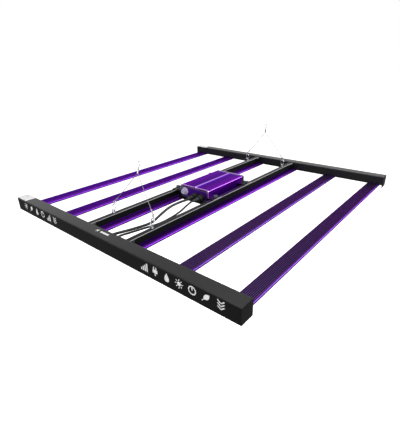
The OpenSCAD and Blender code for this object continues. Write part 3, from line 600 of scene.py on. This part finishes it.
def hanger_rope(end):
    """The two legs with their end rings, and the narrow loop above the crimp."""
    hinge = np.array(JOINTS[f"{end}_hanger_swing"]["pos_m"])
    towards_gate = np.array(JOINTS[f"{end}_right_gate"]["pos_m"]) - hinge
    up = np.array([0.0, towards_gate[1], towards_gate[2]])
    up /= np.linalg.norm(up)
    through = np.cross(up, [1.0, 0.0, 0.0])
    rail_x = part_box("rail_right")
    rail_x = (rail_x[0].x + rail_x[1].x) / 2 / MM

    def place(v):
        return hinge + MM * (v[:, :1] * np.array([1.0, 0, 0]) + v[:, 1:2] * through + v[:, 2:] * up)

    leg = np.array([-rail_x, 0, LEG_RISE - HOOK_EYE_RISE])
    leg /= np.linalg.norm(leg)
    ring = [(1.0, 11), (2.4, 8.2), (3.9, 4.6), (3.0, 1.3), (0, 0.1)]
    ring += [(-n, d) for n, d in reversed(ring[:-1])]
    flat = np.array([0.0, 1.0, 0.0])
    parts = []
    for side in (-1, 1):
        mirror = np.array([side, 1, 1])
        foot = np.array([rail_x, 0, HOOK_EYE_RISE])
        eye = [foot + n * np.array([0, 1.0, 0]) + d * leg for n, d in ring]
        eye_path = smooth_curve(np.array(eye) * mirror, 8)
        parts.append(stranded(eye_path, place, np.cross(leg * mirror, flat)))
        stem = [foot + 20 * leg, foot + 80 * leg, (5.5, 0, LEG_RISE - 6), (1.5, 0, LEG_RISE - 1.5)]
        stem += [(1.2, 0, LEG_RISE + 3)]
        parts.append(stranded(smooth_curve(np.array(stem) * mirror, 10), place, flat))
    start = np.array([ROPE_R + 0.2, LEG_RISE + CRIMP_LEN - LOOP_RISE])
    turn = math.atan2(start[1], start[0]) + math.acos(LOOP_R / np.linalg.norm(start))
    bend = np.linspace(turn, math.pi - turn, 25)
    over = [(LOOP_R * math.cos(b), 0, LOOP_RISE + LOOP_R * math.sin(b)) for b in bend]
    low = LEG_RISE + CRIMP_LEN - 3
    loop = [(ROPE_R + 0.2, 0, low), (ROPE_R + 0.2, 0, low + 3)] + over
    loop += [(-ROPE_R - 0.2, 0, low + 3), (-ROPE_R - 0.2, 0, low)]
    parts.append(stranded(np.array(loop), place, flat))
    vertices, faces = joined(parts)
    made = piece(f"{end}_stranded_rope", vertices, faces, wire_rope, f"{end}_hanger")
    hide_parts(f"{end}_rope")


for end in ("front", "back"):
    hanger_rope(end)


# ---------------------------------------------------------------- chips and print


def plates(boxes, taper=0.0):
    """Low blocks from rows of (x0, x1, y0, y1, z0, z1), open where they sit, narrower at z1.

    taper is how far each side leans in from z0 to z1. Faces point away from z0.
    """
    b = np.asarray(boxes, float)
    x0, x1, y0, y1, z0, z1 = b.T
    t = taper
    corners = [(x0, y0, z0), (x1, y0, z0), (x1, y1, z0), (x0, y1, z0)]
    corners += [(x0 + t, y0 + t, z1), (x1 - t, y0 + t, z1)]
    corners += [(x1 - t, y1 - t, z1), (x0 + t, y1 - t, z1)]
    vertices = np.stack([np.stack(c, axis=-1) for c in corners], axis=1).reshape(-1, 3)
    quads = np.array([(4, 5, 6, 7), (0, 1, 5, 4), (1, 2, 6, 5), (2, 3, 7, 6), (3, 0, 4, 7)])
    if z1[0] < z0[0]:
        quads = quads[:, ::-1]
    faces = (quads[None] + 8 * np.arange(len(b))[:, None, None]).reshape(-1, 4)
    return vertices, faces


def chip_rows():
    """Places of the chips: two rows on each board, 8 mm apart along it."""
    places = []
    for number in range(1, 7):
        low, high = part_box(f"led_board_{number}")
        y = np.arange(low.y + 8 * MM, high.y - 6 * MM, 8 * MM)
        for x in (-7.5 * MM, 7.5 * MM):
            centre = np.full_like(y, (low.x + high.x) / 2 + x)
            places.append(np.stack([centre, y, np.full_like(y, low.z)], axis=1))
    return np.vstack(places)


def centred(places, half_x, half_y, lift0, lift1):
    """Rows for plates() around places, from lift0 to lift1 below them."""
    x, y, z = places.T
    return np.stack(
        [x - half_x, x + half_x, y - half_y, y + half_y, z - lift0, z - lift1], axis=1
    )


chips = chip_rows()
vertices, faces = plates(centred(chips, 1.4 * MM, 1.75 * MM, 0, 0.5 * MM), 0.12 * MM)
piece("chip_housings", vertices, faces, chip_resin, "fixture", smooth=False)
vertices, faces = plates(centred(chips, 1.05 * MM, 1.35 * MM, 0.49 * MM, 0.62 * MM), 0.15 * MM)
piece("chip_phosphor", vertices, faces, phosphor, "fixture", smooth=False)


# ---------------------------------------------------------------- print


def turned(points, degrees, shift=(0.0, 0.0)):
    """Flat points turned about the origin and then shifted."""
    a = math.radians(degrees)
    turn = np.array([[math.cos(a), math.sin(a)], [-math.sin(a), math.cos(a)]])
    return np.asarray(points, float) @ turn + np.asarray(shift, float)


def block(width, height, u=0.0, v=0.0):
    """Outline of an upright rectangle around a middle point."""
    w, h = width / 2, height / 2
    return np.array([(u - w, v - h), (u + w, v - h), (u + w, v + h), (u - w, v + h)])


def disc(radius):
    """Outline of a circle: radius times (cos a, sin a)."""
    a = np.linspace(0, 2 * np.pi, 28, endpoint=False)
    return radius * np.stack([np.cos(a), np.sin(a)], axis=1)


def leaf_outline(length, width):
    """Outline of a leaf: its half width at a share t of its length is width/2 times sin(pi t)."""
    t = np.linspace(0, 1, 14)
    upper = np.stack([length * (t - 0.5), width / 2 * np.sin(np.pi * t)], axis=1)
    return np.vstack([upper[::-1], (upper * [1, -1])[1:-1]])


def drop_outline(height, width):
    """Outline of a drop: height/2 cos a upwards, width/2 sin a times sin(a/2) to 1.5 across."""
    a = np.linspace(0, 2 * np.pi, 30, endpoint=False)[::-1]
    across = 1.35 * width / 2 * np.sin(a) * np.abs(np.sin(a / 2)) ** 1.5
    return np.stack([across, height / 2 * np.cos(a)], axis=1)


def radiating(count, near, far, width, start=0.0, sweep=360.0):
    """Outlines of short bars that point away from the origin, at equal angles."""
    angles = start + sweep * np.arange(count) / count
    bar = block(far - near, width, (near + far) / 2)
    return [turned(bar, a) for a in angles]


def band(radius, width):
    """Outlines of a ring: 28 short blocks between two circles."""
    a = np.linspace(0, 2 * np.pi, 29)
    unit = np.stack([np.cos(a), np.sin(a)], axis=1)
    near, far = (radius - width / 2) * unit, (radius + width / 2) * unit
    return [np.array([near[k], far[k], far[k + 1], near[k + 1]]) for k in range(28)]


PICTOGRAMS = {
    "sun": [disc(5.2)] + radiating(8, 7.2, 11.5, 2.2),
    "leaf": [turned(leaf_outline(22, 12), 45, (1, 1)), turned(block(7, 1.8), 45, (-9, -9))],
    "drop": [drop_outline(23, 15)],
    "dimmer": band(9.5, 2.6) + [block(2.6, 8, 0, 4)],
    "levels": [block(4, 6 + 5.3 * k, -9.6 + 6.4 * k, -12 + (6 + 5.3 * k) / 2) for k in range(4)],
    "plug": [block(15, 9, 0, 0), block(2.6, 7, -3.8, 8), block(2.6, 7, 3.8, 8), block(3, 8, 0, -8)],
    "arrows": [
        turned(block(11, 2.6), side * 38, (side * 4.2, v)) for v in (-7, 0, 7) for side in (-1, 1)
    ],
}


def printed(name, outlines, place, material, body, thick=0.15):
    """Thin closed plates with the given outlines in mm; place puts (u, v, height) in the frame.

    Each outline runs against the clock and can be seen whole from its middle.
    """
    vertices, faces, start = [], [], 0
    for outline in outlines:
        n = len(outline)
        loop = np.vstack([outline, outline.mean(axis=0)])
        for height in (0.02, thick):
            vertices.append(np.column_stack([loop, np.full(n + 1, height)]))
        k = np.arange(n)
        following = (k + 1) % n
        low, high = start, start + n + 1
        faces += np.stack([high + k, high + following, np.full(n, high + n)], axis=1).tolist()
        faces += np.stack([low + following, low + k, np.full(n, low + n)], axis=1).tolist()
        faces += np.stack([low + k, low + following, high + following, high + k], axis=1).tolist()
        start += 2 * (n + 1)
    return piece(name, place(np.vstack(vertices)), faces, material, body, smooth=False)


def row_of(names, middles, lift):
    """Outlines of pictograms side by side, with their middles at the given distances."""
    return [1.12 * o + [u, lift] for kind, u in zip(names, middles) for o in PICTOGRAMS[kind]]


def facing_front(y):
    """Places print on a face that looks to the front."""
    return lambda v: MM * np.column_stack([v[:, 0], np.full(len(v), y / MM) - v[:, 2], v[:, 1]])


def facing_up(z):
    """Places print on a face that looks up."""
    return lambda v: MM * np.column_stack([v[:, 0], v[:, 1], np.full(len(v), z / MM) + v[:, 2]])


PRINT_LIFT = 28  # mm from the beam's underside to the middle of its print
TOP_MARKS_Y = -527  # mm


def make_print():
    """Pictograms on the front beam, lines on the rating labels, ticks round the dimmer."""
    beam_low, beam_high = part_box("front_beam")
    left_kinds = ("sun", "leaf", "drop", "dimmer", "levels", "arrows")
    right_kinds = ("levels", "plug", "drop", "sun", "dimmer", "leaf", "arrows")
    left = row_of(left_kinds, np.linspace(-452, -240, len(left_kinds)), PRINT_LIFT)
    right = row_of(right_kinds, np.linspace(216, 464, len(right_kinds)), PRINT_LIFT)
    on_front = facing_front(beam_low.y)
    printed("front_pictograms", left + right, on_front, white_ink, "fixture")
    small = [0.6 * o + [-24, TOP_MARKS_Y] for o in PICTOGRAMS["sun"]]
    small += [block(8, 7.5, u, TOP_MARKS_Y) for u in (-4, 6, 16, 26)]
    printed("top_marks", small, facing_up(beam_high.z), white_ink, "fixture")

    label_low, label_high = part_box("rating_labels")
    lines = []
    for y in (label_low.y / MM + 19, label_high.y / MM - 19):
        for row, length in enumerate((40, 26, 44, 34, 18, 38)):
            middle_x = label_low.x / MM + 5 + length / 2
            lines.append(block(length, 1.7, middle_x, y + 13 - 4.4 * row))
        for column in range(9):
            width = (1.6, 0.9, 1.2)[column % 3]
            lines.append(block(width, 6, label_low.x / MM + 30 + 2.6 * column, y - 13.5))
    printed("label_lines", lines, facing_up(label_high.z), grey_ink, "fixture", 0.06)

    dial_low, dial_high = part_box("dial_plate")
    middle = [(dial_low.x + dial_high.x) / 2 / MM, (dial_low.z + dial_high.z) / 2 / MM]
    ticks = [o + middle for o in radiating(11, 11.2, 13.8, 0.9, -45, 297)]
    printed("dial_ticks", ticks, facing_front(dial_low.y), dark_ink, "fixture", 0.06)
    knob_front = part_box("dimmer_knob")[0].y
    pointer = [block(1.0, 6.5, middle[0], middle[1] + 5.2)]
    place = facing_front(knob_front + 0.8 * MM)
    printed("knob_pointer", pointer, place, dark_ink, "dimmer")


make_print()


# ---------------------------------------------------------------- floor and light


def light(name, place, target, size, power):
    """A white rectangular soft light of a size in metres, turned to face its target."""
    data = bpy.data.lights.new(name, "AREA")
    data.shape = "RECTANGLE"
    data.size, data.size_y = size
    data.energy = power
    lamp = bpy.data.objects.new(name, data)
    scene.collection.objects.link(lamp)
    away = np.asarray(place, float) - np.asarray(target, float)
    away /= np.linalg.norm(away)
    side = np.cross([0.0, 1.0, 0.0] if abs(away[2]) > 0.9 else [0.0, 0.0, 1.0], away)
    side /= np.linalg.norm(side)
    matrix = np.eye(4)
    matrix[:3, 0], matrix[:3, 1], matrix[:3, 2] = side, np.cross(away, side), away
    matrix[:3, 3] = place
    lamp.matrix_world = matrix.T.tolist()
    return lamp


FLOOR_HALF = 40.0
FLOOR_Z = -1.3
# Name, place, target, size and power in watts
LIGHTS = [
    ("overhead", (0.2, 0.2, 2.6), (0, 0, 0), (3.0, 3.0), 46),
    ("back_right", (2.4, 2.6, 1.3), (0.1, 0, 0), (2.6, 1.6), 60),
    ("right_side", (3.0, -0.6, 1.0), (0, 0, 0), (2.0, 1.6), 30),
    ("front", (0.3, -3.4, 0.9), (0, 0, 0), (2.4, 1.2), 26),
    ("underside_fill", (0.3, -0.4, -1.2), (0, 0, 0), (2.0, 2.0), 8),
]


def make_studio():
    """A wide pale floor that gives light, a surround and soft lights.

    The surround is plain white to the camera. To everything else it is brightest a little
    above the horizon and falls off upwards, and it is dim below the horizon.
    """
    side = [(-1, -1), (1, -1), (1, 1), (-1, 1)]
    corners = [(u * FLOOR_HALF, v * FLOOR_HALF, FLOOR_Z) for u, v in side]
    mesh = bpy.data.meshes.new("floor")
    mesh.from_pydata(corners, [], [(0, 1, 2, 3)])
    mesh.materials.append(
        finish_of(
            "painted floor, white, lit evenly", "#ffffff", 0.9, grain(40, 0.1, rough=(0.85, 0.95)),
            Emission_Color=linear("#ffffff"), Emission_Strength=0.9,
        )
    )
    floor = bpy.data.objects.new("floor", mesh)
    floor.visible_glossy = False
    floor.visible_diffuse = False
    scene.collection.objects.link(floor)
    world = bpy.data.worlds.new("surround")
    world.use_nodes = True
    tree = world.node_tree
    direction = add(tree, "TexCoord")
    height = add(tree, "SeparateXYZ", {}, {"Vector": (direction, "Generated")})
    below = add(
        tree,
        "MapRange",
        {"From Min": -0.05, "From Max": 0.02, "To Min": 0.1, "To Max": 1.0},
        {"Value": (height, "Z")},
    )
    above = add(
        tree,
        "MapRange",
        {"From Min": 0.26, "From Max": 0.55, "To Min": 1.15, "To Max": 0.2},
        {"Value": (height, "Z")},
    )
    strength = add(
        tree, "Math", {"operation": "MULTIPLY"}, {0: (below, "Result"), 1: (above, "Result")}
    )
    lighting = tree.nodes["Background"]
    tree.links.new(strength.outputs[0], lighting.inputs["Strength"])
    backdrop = add(tree, "Background", {"Color": (1, 1, 1, 1), "Strength": 1.0})
    ray = add(tree, "LightPath")
    choice = {0: (ray, "Is Camera Ray"), 1: (lighting, 0), 2: (backdrop, 0)}
    surround = add(tree, "MixShader", {}, choice)
    tree.links.new(surround.outputs[0], tree.nodes["World Output"].inputs["Surface"])
    lighting.inputs["Color"].default_value = (1, 1, 1, 1)
    scene.world = world
    lamps = {row[0]: light(*row) for row in LIGHTS}
    lamps["underside_fill"].visible_glossy = False


make_studio()
